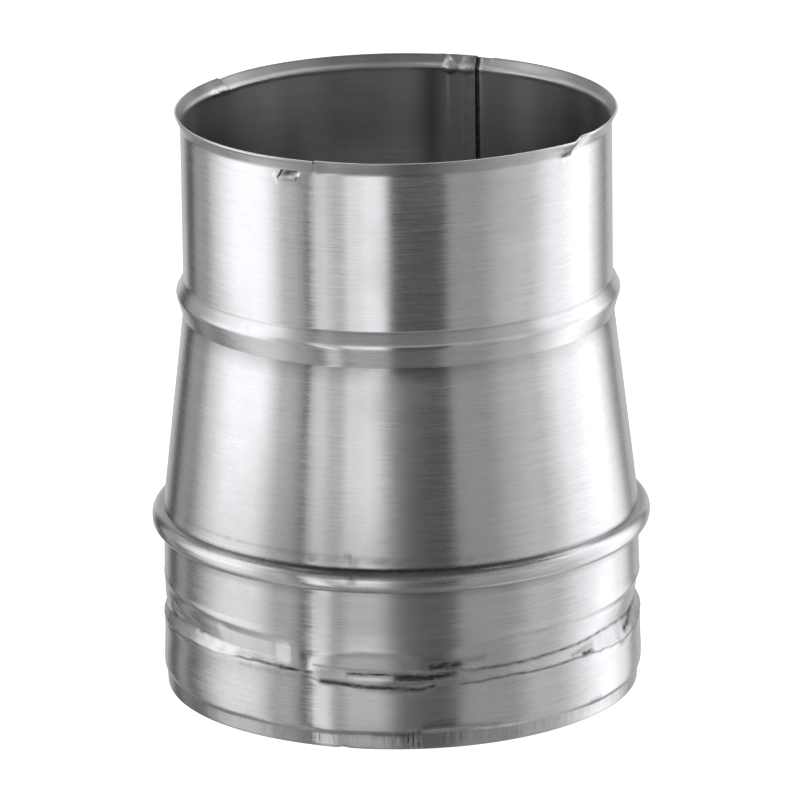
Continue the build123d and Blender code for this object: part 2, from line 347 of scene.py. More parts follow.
# painted shade lines along the top of the hem
line = np.maximum(line, stroke([(-1.6, 5.4), (1.0, 5.6), (3.6, 6.0)], 1.3, 0.62, 82.7))
line = np.maximum(line, stroke([(5.0, 8.1), (8.0, 8.7), (12.0, 8.6)], 1.3, 0.55, 84.1))
line = np.maximum(line, stroke([(13.5, 8.1), (23.0, 7.2)], 0.9, 0.38, 84.1))
line = np.maximum(line, stroke([(-7.0, 5.4), (-3.2, 5.3)], 1.0, 0.42, 82.7))
grime_and_shade = np.maximum(grime_and_shade, stroke([(-14.9, 0.6), (-13.8, 0.3)], 0.6, 0.9, 82.7))
grime_and_shade = np.maximum(grime_and_shade, stroke([(-41, 6.6), (-33, 6.0), (-24, 6.3)], 0.7, 0.45, 82.7))

# creases beside the beads, with painted shade in them
front = bump(F, -4, 34)
flank = np.where((R0[:, None] > 83.7) & (Zg > 62.6) & (Zg < 66), 1.0, 0.0)
line = np.maximum(line, (0.45 + 0.55 * front) * bump(Zg, 65.1, 0.62))
grime_and_shade = np.maximum(grime_and_shade, 0.45 * front * bump(Zg, 65.15, 0.45))
line = np.maximum(line, 0.50 * front * flank)
line = np.maximum(line, (0.20 + 0.25 * bump(F, -10, 40)) * bump(Zg, 134.4, 0.40))
line = np.maximum(line, 0.42 * bump(Zg, 57.0, 0.5))
line = np.maximum(line, 0.25 * bump(Zg, 146.9, 0.45))
line = np.maximum(line, 0.30 * bump(Zg, 69.4, 0.55) * bump(F, -40, 32) * (0.8 + 0.3 * FINE(P, 0.0)))
stain = np.maximum(stain, stroke([(-12.6, 69.2), (-11.6, 66.0), (-11.4, 61.5)], 1.5, 0.7))
stain = np.maximum(stain, (0.30 + 0.22 * FINE(P, Zg)) * smooth(66.3, 67.2, Zg) * smooth(70.6, 68.0, Zg) * smooth(-36, -20, F) * smooth(34, 0, F))
DR += 0.05 * bump(Zg, 66.1, 0.5) * smooth(-80, -60, -np.abs(F))
# painted shade: darker tone on the lower cone, the lip, the hem band, below the stop bead and in bands on the cone
painted_shade = 0.30 * smooth(112, 68, Zg) * smooth(62, 68, Zg) * bump(F, -22, 42)
painted_shade = np.maximum(painted_shade, smooth(201.6, 203.0, Zg) * (0.10 + 0.48 * bump(F, -6, 24) + 0.22 * bump(F, 43, 12)))
painted_shade = np.maximum(painted_shade, 0.25 * smooth(200.8, 202.0, Zg) * bump(F, -135, 42))
painted_shade = np.maximum(painted_shade, 0.30 * smooth(6.8, 5.4, Zg) * (0.6 + 0.4 * bump(F, -80, 60) - 0.55 * bump(F, 51, 13)))
painted_shade = np.maximum(painted_shade, smooth(57.2, 55.5, Zg) * smooth(-24, -19, F) * smooth(4, -3, F) * (0.24 + 0.10 * smooth(38, 44, Zg)))
painted_shade = np.maximum(painted_shade, 0.10 * smooth(135, 130, Zg) * smooth(66, 70, Zg) * (bump(F, 28, 16) + bump(F, -6, 12)))
matte = np.where(Zg > 61, 1.25 * bump(F, -0.5, 6.5), bump(F, 3, 10)) * smooth(136, 129, Zg) * 0.8
# painted shade on the inside, most on the right and low down
inner_shade = 0.42 + 0.40 * smooth(160, 152, F) * smooth(70, 95, F) + 0.48 * bump(F, 170, 3.4) + 0.18 * bump(F, 162.5, 4.5)
inner_shade = inner_shade + 0.54 * bump(F, -124, 17) + 0.12 * smooth(190, 168, Zg) * smooth(160, 150, np.abs(F))
# less painted shade low on the back wall inside
pale = bump(wrap(F + 175.0), 0.0, 14.0) * smooth(180, 167, Zg)
inner_shade = inner_shade - 0.45 * pale
inner_shade = (inner_shade + 0.09 * MID(P, Zg)) * smooth(202.6, 201.0, Zg)
# painted shade on the inner face of the lip at the back
lip_inner_shade = 0.46 + 0.26 * bump(F, -125, 30) + 0.30 * bump(np.where(F < 0, F + 360.0, F), 178, 13)
inner_shade = np.maximum(inner_shade, lip_inner_shade * smooth(203.0, 203.9, Zg) * smooth(90, 110, np.abs(F)) * (0.85 + 0.15 * MID(P, Zg)))

# slow unevenness of the rolled sheet
DR += 0.045 * LOW(P, Zg) * smooth(4, 14, Zg) * smooth(200, 190, Zg)
DR += 0.012 * MID(P, Zg) * smooth(66, 80, Zg) * smooth(200, 190, Zg)
DR -= np.where((Zg > 41) & (Zg < 56), 0.10 * bump(F, -47, 16) * bump(Zg, 47, 5), 0.0)

# --- flared lip -------------------------------------------------------------
lip = smooth(199.0, 203.0, Zg)
lip_hi = smooth(201.5, 206.6, Zg)
# the twist-lock cut on the right: the sheet left of it sits lower and further in,
# the sheet right of it loses its flare
c0 = CUTS[0][0]
left_side = (F < c0 - 0.05) & (F > c0 - 40)
DZ -= np.where(left_side, 1.35 * np.exp(-(c0 - F) / 10.0) * (0.15 + 0.85 * smooth(0.1, 2.6, c0 - F)), 0.0) * lip
DR += np.where(left_side, 0.25 * np.exp(-(c0 - F) / 5.0), 0.0) * lip_hi
right_side = (F > c0 + 0.05) & (F < c0 + 30)
DZ -= np.where(right_side, 1.7 * np.exp(-((F - c0) / 1.9) ** 2), 0.0) * lip_hi
DR -= np.where(right_side, 1.75 * np.exp(-((F - c0) / 4.2) ** 2), 0.0) * lip_hi
DR += 0.30 * (stroke([(49.4, 200.3), (49.6, 200.5)], 1.0, 1.0, 75.5) - 1.4 * stroke([(49.4, 200.3), (49.6, 200.5)], 0.5, 1.0, 75.5))
stain = np.maximum(stain, np.where(left_side, 1.0, 0.0) * bump(F, 50.2, 2.4) * smooth(201.6, 202.6, Zg) * smooth(206.6, 205.4, Zg))
# grime with painted shadow in the dark wedge beside the cut
grime_and_shade = np.maximum(grime_and_shade, np.where(left_side, 0.90, 0.0) * bump(F, 52.6, 1.4) * smooth(200.9, 201.8, Zg) * smooth(206.6, 205.4, Zg))
grime_and_shade = np.maximum(grime_and_shade, np.where(left_side, 0.85, 0.0) * bump(F, 50.4, 2.4) * bump(Zg, 202.7, 0.9))
grime_and_shade = np.maximum(grime_and_shade, np.where(left_side, 0.50, 0.0) * bump(F, 49.0, 4.5) * bump(Zg, 205.6, 0.5))
# its twin at the back left
c1 = wrap(CUTS[1][0])
low_side = (F < c1 - 0.05) & (F > c1 - 30)
DZ -= np.where(low_side, 0.5 * np.exp(-(c1 - F) / 8.0), 0.0) * lip
hi_side = (F > c1 + 0.05) & (F < c1 + 30)
DR -= np.where(low_side, 0.35 * np.exp(-(c1 - F) / 3.0), 0.0) * lip_hi
# grime with painted shade beside the cut
grime_and_shade = np.maximum(grime_and_shade, np.where(hi_side, 0.95, 0.0) * bump(F, c1 + 2.6, 3.6) * smooth(203.5, 204.4, Zg))
grime_and_shade = np.maximum(grime_and_shade, np.where(hi_side, 0.9, 0.0) * bump(F, c1 + 0.4, 0.9) * smooth(202.6, 203.6, Zg))
DR -= 0.8 * stroke([(-121.6, 202.4), (-122.0, 202.6)], 0.9, 1.0, 75.5)
DR -= 0.8 * stroke([(-125.0, 202.4), (-125.6, 202.6)], 0.9, 1.0, 75.5)
# crease where the lip leaves the tube, rolled a little inwards
DR_IN -= bump(Zg, 202.7, 0.8) * (0.28 + 0.46 * bump(F, -128, 24) + 0.30 * bump(F, 170.5, 4.0) + 0.16 * bump(F, 135, 16)) * smooth(95, 112, np.abs(F))
# small rim steps
c2 = CUTS[2][0]
DZ -= np.where((F > c2 + 0.02) & (F < c2 + 12), -0.18, 0.0) * smooth(204.5, 206.5, Zg)
DR += np.where((F < c2 - 0.02) & (F > c2 - 30), 0.28 * np.exp(-(c2 - F) / 16.0), 0.0) * lip_hi
DR -= np.where((F > c2 + 0.02) & (F < c2 + 25), 0.22 * np.exp(-(F - c2) / 9.0), 0.0) * lip_hi

# the sheared rim edge leans outwards left of the front step and right of the right cut,
# and inwards between them
DZ_OUT = np.zeros_like(P)
rim = smooth(205.4, 206.5, Zg)
DZ_OUT -= rim * 0.30 * (smooth(-75, -60, F) * (F < c2) + smooth(c0 - 0.1, c0 + 0.6, F) * smooth(96, 88, F))
DZ_OUT += rim * 0.12 * ((F > c2) & (F < c0))
scuff = np.maximum(scuff, 0.35 * smooth(202.0, 203.4, Zg))

# lanced tab under the lip: its upper edge is bent inwards
in_tab = (F > TAB_L + 0.1) & (F < TAB_R - 0.1) & (Zg > TAB_Z0 - 0.4) & (Zg < TAB_SLOT + 0.1)
bend = np.clip((Zg - TAB_Z0) / (TAB_SLOT - TAB_Z0), 0, 1) ** 1.25
DR -= np.where(in_tab, bend * (1.45 - 1.15 * smooth(TAB_L + 1.9, TAB_R, F)), 0.0)
DR += 0.12 * stroke([(TAB_L, TAB_Z0 - 0.5), (TAB_R, TAB_Z0 - 0.8)], 0.45, 1.0, 75.0)
DR += 0.22 * stroke([(TAB_L - 0.55, 199.8), (TAB_L - 0.45, 200.6)], 0.5, 1.0, 75.0)
DR += 0.12 * stroke([(TAB_R + 0.5, 199.2), (TAB_R + 0.45, 200.6)], 0.45, 1.0, 75.0)
# painted shade in the slot under the bent edge and on the bent part, with a painted shade line along the tab's foot
grime_and_shade = np.maximum(grime_and_shade, np.where(in_tab, 0.75, 0.0) * smooth(TAB_SLOT - 1.8, TAB_SLOT - 0.7, Zg) * smooth(TAB_R - 0.7, TAB_R - 1.9, F) * smooth(TAB_L + 0.5, TAB_L + 1.5, F))
line = np.maximum(line, 0.30 * stroke([(TAB_L + 1.6, TAB_Z0 - 0.1), (TAB_R - 0.6, TAB_Z0 - 0.2)], 0.4, 1.0, 75.0))
painted_shade = np.maximum(painted_shade, np.where(in_tab, 0.25 + 0.6 * bend, 0.0) * smooth(TAB_L + 0.2, TAB_L + 1.4, F))

# lapped and welded seam at the back
A = np.where(F < 0, F + 360.0, F)          # 0..360
lap_in = smooth(157.40, 157.50, A) * smooth(166.4, 164.6, A)
DR_IN -= 0.52 * lap_in
DR_IN += 0.26 * smooth(156.1, 156.6, A) * smooth(157.46, 157.36, A)
DR_OUT += 0.28 * smooth(146.0, 164.5, A) * smooth(165.10, 165.02, A)
DR_OUT -= 0.12 * smooth(165.02, 165.10, A) * smooth(166.2, 165.3, A)
bead_weld = smooth(157.5, 158.0, A) * smooth(161.6, 160.6, A)
weld = np.maximum(weld, bead_weld * smooth(120, 150, Zg) + bead_weld * 0.7)
DR_IN -= 0.14 * bead_weld * FINE(P * 1.7, Zg * 1.3)
# painted shadow in the gap at the inner sheet's free edge
grime_and_shade = np.maximum(grime_and_shade, 0.0 + 1.0 * smooth(156.5, 157.0, A) * smooth(157.48, 157.38, A))
DZ += 0.34 * smooth(157.38, 157.52, A) * smooth(169.0, 167.4, A) * smooth(203.5, 206.0, Zg)
DZ -= 0.30 * smooth(152.3, 153.2, A) * smooth(157.46, 157.38, A) * smooth(203.5, 206.0, Zg)
for a0, z0, w, h in ((160.3, 202.6, 1.5, -0.85), (159.4, 205.9, 1.3, -0.42), (158.2, 202.2, 0.7, -0.45), (161.6, 204.8, 0.8, 0.35)):
    DR_IN += h * np.exp(-(((A - a0) * 1.31) ** 2 + (Zg - z0) ** 2) / (w * w))
# pressed lock dimple in the lip beside the seam
dd = np.hypot((A - 164.9) * 1.31, Zg - 203.0)
dome = np.clip(1.0 - (dd / 2.6) ** 2, 0.0, 1.0) ** 0.6
DR -= 1.05 * dome
# painted highlight: less painted shade on a ring round the dimple
inner_shade = inner_shade * (1.0 - 0.9 * smooth(2.9, 2.4, dd) * smooth(1.2, 1.7, dd) * smooth(202.6, 203.2, Zg))

# --- slanted columns at the cuts and at the tab -------------------------------
for c, lean, foot, h in CUTS:
    near = smooth(7.0, 1.2, np.abs(wrap(F - c)))
    lift = np.where(Zg > foot, Zg - 204.0, (foot - 204.0) * smooth(foot - 7.0, foot, Zg))
    DPHI += lean * lift * near
for c, lean in ((TAB_L, 0.34), (TAB_R, 0.24)):
    near = smooth(2.6, 0.5, np.abs(F - c))
    lift = (Zg - 200.5) * smooth(196.5, 198.4, Zg) * smooth(204.4, 202.6, Zg)
    DPHI += lean * lift * near

# --- cells cut out of the sheet ------------------------------------------------
ZM = 0.5 * (Z0[:-1] + Z0[1:])
cut = np.zeros((NROW - 1, NCOL), bool)
PM = PHI + 0.5 * ((np.roll(PHI, -1) - PHI) % 360.0)
for c, lean, foot, h in CUTS:
    col = np.abs(wrap(PM - c)) < h
    cut |= np.outer(ZM > foot, col)
for c in (TAB_L, TAB_R):
    col = np.abs(wrap(PM - c)) < TAB_SLIT
    cut |= np.outer((ZM > TAB_Z0) & (ZM < (TAB_Z1 if c == TAB_L else TAB_Z1 - 1.9)), col)
col = (wrap(PM) > TAB_L) & (wrap(PM) < TAB_R)
cut |= np.outer((ZM > TAB_SLOT) & (ZM < TAB_Z1), col)

# --- skins --------------------------------------------------------------------
def keep_inner():
    keep, last = [], -99.0
    arc = np.concatenate([[0], np.cumsum(np.hypot(np.diff(R0), np.diff(Z0)))])
    for i in range(NROW):
        z = Z0[i]
        gap = 1.2 if z < 70 else 1.7
        if i in (0, NROW - 1) or z > 195.5 or arc[i] - last >= gap:
            keep.append(i)
            last = arc[i]
    return np.array(keep)


INNER = keep_inner()


def place(r, z, phi):
    a = np.radians(phi)
    return np.stack([r * np.sin(a), -r * np.cos(a), z], -1)


phi_g = P + DPHI
z_out = np.clip(Zg + DZ + DZ_OUT, 0.0, HEIGHT)
outer = place(R0[:, None] + DR + DR_OUT, z_out, phi_g)
inner = place(R0[:, None] - SHEET * NR[:, None] + DR + DR_IN, Zg - SHEET * NZ[:, None] + DZ, phi_g)[INNER]

verts, attr = [], {"grime_and_shade": [], "stain": [], "weld": [], "scuff": [], "inner": [], "painted_shade": [], "crimp": [], "line": [], "matte": []}
uvs = []
ARC = np.concatenate([[0], np.cumsum(np.hypot(np.diff(R0), np.diff(Z0)))])
ARC = ARC / ARC[-1]
UCOL = np.concatenate([(PHI - PHI[0]) / 360.0, [1.0]])


FAR = smooth(100, 116, np.abs(wrap(PHI)))


def add_rows(pts, rows, is_inner, fade=1.0):
    start = len(verts)
    for k, i in enumerate(rows):
        verts.extend(pts[k])
        attr["grime_and_shade"].extend(grime_and_shade[i] * fade if not is_inner else np.where(Z0[i] > 150, np.where(np.abs(A[i] - 157) < 1.0, grime_and_shade[i], 0.35 * grime_and_shade[i]), 0.0))
        attr["stain"].extend(stain[i])
        attr["weld"].extend(weld[i] if is_inner else weld[i] * 0.0)
        attr["scuff"].extend(0.9 * pale[i] if is_inner else scuff[i])
        attr["crimp"].extend(crimp[i] * (0.0 if is_inner else 1.0))
        # on the inner skin: painted shadow in the seam gap and painted shade along the rim at the back
        gap = smooth(156.1, 156.5, A[i]) * smooth(157.48, 157.36, A[i])
        attr["line"].extend(np.maximum(gap, 0.55 * FAR * smooth(206.1, 206.5, Z0[i])) if is_inner else line[i])
        attr["painted_shade"].extend(np.maximum(painted_shade[i], inner_shade[i]) if is_inner else painted_shade[i])
        attr["matte"].extend(matte[i] * (0.0 if is_inner else 1.0))
        attr["inner"].extend(np.full(NCOL, 1.0 if is_inner else 0.0))
    return start


o0 = add_rows(outer, range(NROW), False)
i0 = add_rows(inner, INNER, True)
# rounded sheet edge at both rims
edge_rows = {}
for name, oi, ii, sgn in (("top", NROW - 1, len(INNER) - 1, 1.0), ("bottom", 0, 0, -1.0)):
    po, pi_ = outer[oi], inner[ii]
    mid, half = 0.5 * (po + pi_), 0.5 * (po - pi_)
    along = np.stack([np.zeros(NCOL), np.zeros(NCOL), np.ones(NCOL)], -1) * sgn
    n = half / np.linalg.norm(half, axis=1, keepdims=True)
    along = along - n * (along * n).sum(1, keepdims=True)
    along /= np.linalg.norm(along, axis=1, keepdims=True)
    starts = []
    for b in (35, 70, 110, 145):
        t = math.radians(b)
        rowpts = mid + math.cos(t) * half + math.sin(t) * along * np.linalg.norm(half, axis=1, keepdims=True) * 0.92
        rowpts[:, 2] = np.clip(rowpts[:, 2], 0.0, HEIGHT)
        starts.append(len(verts))
        verts.extend(rowpts)
        for key in attr:
            # painted shade on the top rim edge at the back
            if key == "line":
                attr[key].extend(0.65 * FAR if name == "top" else 0.0 * FAR)
            else:
                attr[key].extend(0.4 * grime_and_shade[oi] if key == "grime_and_shade" else np.full(NCOL, 0.5 if key == "inner" else 0.0))
    edge_rows[name] = starts

faces, fuv = [], []


def quad(a, b, c, d, ua=None):
    faces.append((a, b, c, d))
    fuv.append(ua)


def nxt(j):
    return (j + 1) % NCOL


V_OUT, V_IN = (0.36, 0.995), (0.005, 0.33)
for i in range(NROW - 1):
    v0 = V_OUT[0] + (V_OUT[1] - V_OUT[0]) * ARC[i]
    v1 = V_OUT[0] + (V_OUT[1] - V_OUT[0]) * ARC[i + 1]
    for j in range(NCOL):
        if not cut[i, j]:
            a, b = o0 + i * NCOL + j, o0 + i * NCOL + nxt(j)
            quad(a, b, b + NCOL, a + NCOL, ((UCOL[j], v0), (UCOL[j + 1], v0), (UCOL[j + 1], v1), (UCOL[j], v1)))
ROW_OF = {int(r): k for k, r in enumerate(INNER)}
for k in range(len(INNER) - 1):
    i, i2 = INNER[k], INNER[k + 1]
    v0 = V_IN[0] + (V_IN[1] - V_IN[0]) * ARC[i]
    v1 = V_IN[0] + (V_IN[1] - V_IN[0]) * ARC[i2]
    for j in range(NCOL):
        if not cut[i, j]:
            a, b = i0 + k * NCOL + j, i0 + k * NCOL + nxt(j)
            quad(a, a + NCOL, b + NCOL, b, ((UCOL[j], v0), (UCOL[j], v1), (UCOL[j + 1], v1), (UCOL[j + 1], v0)))


def strip_uv(j, n, m):
    v = 0.336 + 0.02 * n / m
    return ((UCOL[j], v), (UCOL[j + 1], v), (UCOL[j + 1], v + 0.02 / m), (UCOL[j], v + 0.02 / m))


top_chain = [o0 + (NROW - 1) * NCOL] + edge_rows["top"] + [i0 + (len(INNER) - 1) * NCOL]
low_chain = [i0] + edge_rows["bottom"][::-1] + [o0]
for chain, row in ((top_chain, NROW - 2), (low_chain, 0)):
    m = len(chain) - 1
    for n in range(m):
        for j in range(NCOL):
            if not cut[row, j]:
                quad(chain[n] + j, chain[n] + nxt(j), chain[n + 1] + nxt(j), chain[n + 1] + j, strip_uv(j, n, m))

# walls of the cuts
tiny = ((0.001, 0.3575), (0.999, 0.3575), (0.999, 0.3585), (0.001, 0.3585))
for i in range(NROW - 1):
    if not cut[i].any():
        continue
    k, k2 = ROW_OF[i], ROW_OF[i + 1]
    for j in np.nonzero(cut[i])[0]:
        jl, jr = (j - 1) % NCOL, nxt(j)
        if not cut[i, jl]:
            quad(o0 + i * NCOL + j, i0 + k * NCOL + j, i0 + k2 * NCOL + j, o0 + (i + 1) * NCOL + j, tiny)
        if not cut[i, jr]:
            quad(o0 + i * NCOL + jr, o0 + (i + 1) * NCOL + jr, i0 + k2 * NCOL + jr, i0 + k * NCOL + jr, tiny)
        if i > 0 and not cut[i - 1, j]:
            quad(o0 + i * NCOL + j, o0 + i * NCOL + jr, i0 + k * NCOL + jr, i0 + k * NCOL + j, tiny)
        if i < NROW - 2 and not cut[i + 1, j]:
            quad(o0 + (i + 1) * NCOL + j, i0 + k2 * NCOL + j, i0 + k2 * NCOL + jr, o0 + (i + 1) * NCOL + jr, tiny)
# end caps of the rounded rim at each cut
caps = []
for j in np.nonzero(cut[NROW - 2])[0]:
    jl, jr = (j - 1) % NCOL, nxt(j)
    if not cut[NROW - 2, jl]:
        caps.append([s + j for s in top_chain])
    if not cut[NROW - 2, jr]:
        caps.append([s + jr for s in top_chain][::-1])
for c in caps:
    faces.append(tuple(c))
    fuv.append(None)

mesh = bpy.data.meshes.new("adapter_sheet")
mesh.from_pydata([tuple(v * MM) for v in np.array(verts)], [], faces)
uv = mesh.uv_layers.new(name="OFBake")
flat = []
for f, u in zip(faces, fuv):
    if u is None:
        flat += [(0.5, 0.358)] * len(f)
    else:
        flat += list(u)
uv.data.foreach_set("uv", np.array(flat, np.float32).ravel())
for key, vals in attr.items():
    at = mesh.attributes.new(key, "FLOAT", "POINT")
    at.data.foreach_set("value", np.clip(np.array(vals, np.float32), 0.0, 1.0))

bm = bmesh.new()
bm.from_mesh(mesh)
loose = [v for v in bm.verts if not v.link_faces]
bmesh.ops.delete(bm, geom=loose, context="VERTS")
bmesh.ops.recalc_face_normals(bm, faces=bm.faces)
for f in bm.faces:
    f.smooth = True
for e in bm.edges:
    if len(e.link_faces) == 2 and e.calc_face_angle(0.0) > math.radians(48):
        e.smooth = False
open_edges = sum(1 for e in bm.edges if len(e.link_faces) != 2)
tris = sum(len(f.verts) - 2 for f in bm.faces)
bm.to_mesh(mesh)
bm.free()
print("sheet rows", NROW, "columns", NCOL, "inner rows", len(INNER), "triangles", tris, "open edges", open_edges)

shell = bpy.data.objects.new("adapter_sheet", mesh)
SCENE.collection.objects.link(shell)
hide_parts("adapter_shell")
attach(shell, "root")


# ---------------------------------------------------------------------------
# Brushed stainless sheet
# ---------------------------------------------------------------------------
class Tree:
    """Small helper that adds nodes and links them."""

    def __init__(self, tree):
        self.t = tree

    def add(self, kind, **kw):
        n = self.t.nodes.new(kind)
        for k, v in kw.items():
            setattr(n, k, v)
        return n

    def put(self, socket, value):
        if isinstance(value, bpy.types.NodeSocket):
            self.t.links.new(value, socket)
        else:
            socket.default_value = value

    def math(self, op, a, b=0.0, clamp=False):
        n = self.add("ShaderNodeMath", operation=op, use_clamp=clamp)
        self.put(n.inputs[0], a)
        self.put(n.inputs[1], b)
        return n.outputs[0]

    def vec(self, op, a, b=None, scale=None):
        n = self.add("ShaderNodeVectorMath", operation=op)
        self.put(n.inputs[0], a)
        if b is not None:
            self.put(n.inputs[1], b)
        if scale is not None:
            self.put(n.inputs["Scale"], scale)
        return n.outputs[0]

    def noise(self, vector, scale, detail=2.0, rough=0.5):
        n = self.add("ShaderNodeTexNoise")
        self.put(n.inputs["Vector"], vector)
        n.inputs["Scale"].default_value = scale
        n.inputs["Detail"].default_value = detail
        n.inputs["Roughness"].default_value = rough
        return n.outputs["Fac"]

    def remap(self, x, a, b, c, d):
        n = self.add("ShaderNodeMapRange")
        n.clamp = True
        self.put(n.inputs[0], x)
        for k, v in zip((1, 2, 3, 4), (a, b, c, d)):
            n.inputs[k].default_value = v
        return n.outputs[0]

    def mix(self, f, a, b):
        n = self.add("ShaderNodeMix", data_type="RGBA")
        self.put(n.inputs["Factor"], f)
        self.put(n.inputs["A"], a)
        self.put(n.inputs["B"], b)
        return n.outputs["Result"]

    def attr(self, name):
        return self.add("ShaderNodeAttribute", attribute_name=name).outputs["Fac"]


def steel():
    m = bpy.data.materials.new("stainless_brushed")
    m.use_nodes = True
    t = Tree(m.node_tree)
    bsdf = m.node_tree.nodes["Principled BSDF"]
    obj = t.add("ShaderNodeTexCoord").outputs["Object"]
    normal = t.add("ShaderNodeNewGeometry").outputs["Normal"]

    def stretched(sx, sz):
        return t.vec("MULTIPLY", obj, (sx, sx, sz))

    streak = t.noise(stretched(38.0, 1500.0), 1.0, 3.0, 0.6)     # long brush lines
    hair = t.noise(stretched(120.0, 5200.0), 1.0, 2.0, 0.6)      # hair lines
    band = t.noise(stretched(9.0, 260.0), 1.0, 2.0, 0.5)         # broad brush bands
    short = t.noise(stretched(300.0, 1700.0), 1.0, 3.0, 0.65)    # short scratches
    blotch = t.noise(obj, 26.0, 4.0, 0.6)                        # handling smudges
    grain = t.noise(obj, 1300.0, 2.0, 0.5)
    g = t.attr("grime_and_shade")
    s = t.attr("stain")
    w = t.attr("weld")
    sc = t.attr("scuff")
    inn = t.attr("inner")
    du = t.attr("painted_shade")
    ma = t.attr("matte")
    strokes = t.remap(t.noise(stretched(620.0, 45.0), 1.0, 2.0, 0.6), 0.42, 0.62, 0.0, 1.0)
    cr = t.math("MULTIPLY", t.attr("crimp"), strokes)

    rag = t.noise(stretched(330.0, 900.0), 1.0, 3.0, 0.65)
    g = t.math("MULTIPLY", g, t.remap(rag, 0.30, 0.62, 0.55, 1.25))
    g = t.math("MULTIPLY", t.math("POWER", g, 1.3), 1.05, clamp=True)

    # colour
    lines = t.math("ADD", t.math("MULTIPLY", streak, 0.36), t.math("ADD", t.math("MULTIPLY", hair, 0.22), t.math("ADD", t.math("MULTIPLY", short, 0.30), t.math("MULTIPLY", band, 0.12))))
    tone = t.remap(lines, 0.36, 0.64, 0.0, 1.0)
    col = t.mix(tone, (0.565, 0.560, 0.572, 1), (0.710, 0.705, 0.717, 1))
    warm = t.remap(t.noise(obj, 15.0, 3.0, 0.6), 0.45, 0.7, 0.0, 0.35)
    col = t.mix(warm, col, (0.60, 0.578, 0.590, 1))
    smut = t.remap(blotch, 0.52, 0.74, 0.0, 0.30)
    col = t.mix(smut, col, (0.46, 0.455, 0.462, 1))
    # painted shade
    col = t.mix(du, col, (0.18, 0.178, 0.182, 1))
    col = t.mix(t.math("MULTIPLY", cr, 0.5), col, (0.25, 0.25, 0.26, 1))
    col = t.mix(t.math("MULTIPLY", sc, t.remap(grain, 0.35, 0.65, 0.0, 0.35)), col, (0.42, 0.42, 0.43, 1))
    col = t.mix(t.math("MULTIPLY", w, t.remap(t.noise(obj, 340.0, 3.0, 0.6), 0.4, 0.6, 0.15, 0.75)), col, (0.30, 0.295, 0.30, 1))
    col = t.mix(t.math("MULTIPLY", s, t.remap(t.noise(obj, 420.0, 3.0, 0.6), 0.35, 0.6, 0.2, 0.9)), col, (0.19, 0.162, 0.145, 1))
    # painted shade lines
    col = t.mix(t.math("MULTIPLY", t.attr("line"), t.remap(rag, 0.25, 0.6, 0.75, 1.0)), col, (0.055, 0.052, 0.052, 1))
    # grime and painted shade
    col = t.mix(g, col, (0.030, 0.027, 0.026, 1))
    t.put(bsdf.inputs["Base Color"], col)

    # gloss
    ro = t.math("ADD", t.remap(lines, 0.34, 0.66, 0.17, 0.27), t.remap(blotch, 0.45, 0.75, 0.0, 0.07))
    ro = t.math("ADD", ro, t.math("MULTIPLY", du, 0.10))
    ro = t.math("ADD", ro, t.math("MULTIPLY", ma, 0.145))
    ro = t.math("ADD", ro, t.math("MULTIPLY", sc, 0.16))
    ro = t.math("ADD", ro, t.math("MULTIPLY", g, 0.32))
    ro = t.math("ADD", ro, t.math("MULTIPLY", w, 0.12))
    ro = t.math("ADD", ro, t.math("MULTIPLY", s, 0.18))
    ro = t.math("ADD", ro, t.math("MULTIPLY", inn, 0.10), clamp=True)
    t.put(bsdf.inputs["Roughness"], ro)
    t.put(bsdf.inputs["Metallic"], t.math("SUBTRACT", 1.0, t.math("MULTIPLY", g, 0.75), clamp=True))
    bsdf.inputs["Anisotropic"].default_value = 0.8
    bsdf.inputs["Anisotropic Rotation"].default_value = 0.25
    tang = t.add("ShaderNodeTangent", direction_type="RADIAL", axis="Z")
    t.put(bsdf.inputs["Tangent"], tang.outputs[0])

    # brush lines tip the surface a little, round the axis and along it
    around = t.vec("NORMALIZE", t.vec("CROSS_PRODUCT", (0.0, 0.0, 1.0), normal))
    tip = t.math("ADD", t.math("MULTIPLY", t.math("SUBTRACT", streak, 0.5), 0.018), t.math("MULTIPLY", t.math("SUBTRACT", hair, 0.5), 0.036))
    tip = t.math("MULTIPLY", tip, t.math("ADD", 1.0, t.math("MULTIPLY", ma, 1.6)))
    tip_z = t.math("MULTIPLY", t.math("SUBTRACT", t.noise(stretched(90.0, 3600.0), 1.0, 2.0, 0.6), 0.5), 0.10)
    n1 = t.vec("ADD", normal, t.vec("SCALE", around, scale=tip))
    n1 = t.vec("ADD", n1, t.vec("SCALE", (0.0, 0.0, 1.0), scale=tip_z))
    n1 = t.vec("NORMALIZE", n1)
    rough_bump = t.add("ShaderNodeBump")
    rough_bump.inputs["Strength"].default_value = 1.0
    rough_bump.inputs["Distance"].default_value = 0.00022
    uneven = t.math("ADD", t.math("MULTIPLY", w, t.noise(obj, 520.0, 3.0, 0.6)), t.math("MULTIPLY", sc, t.math("MULTIPLY", t.noise(stretched(260.0, 900.0), 1.0, 2.0, 0.6), 0.45)))
    uneven = t.math("ADD", uneven, t.math("MULTIPLY", cr, 0.35))
    t.put(rough_bump.inputs["Height"], t.math("ADD", uneven, t.math("MULTIPLY", g, -0.2)))
    t.put(rough_bump.inputs["Normal"], n1)
    t.put(bsdf.inputs["Normal"], rough_bump.outputs[0])
    return m


STEEL = steel()
mesh.materials.append(STEEL)
for node in frame["nodes"].values():
    node.data.materials.clear()
    node.data.materials.append(STEEL)


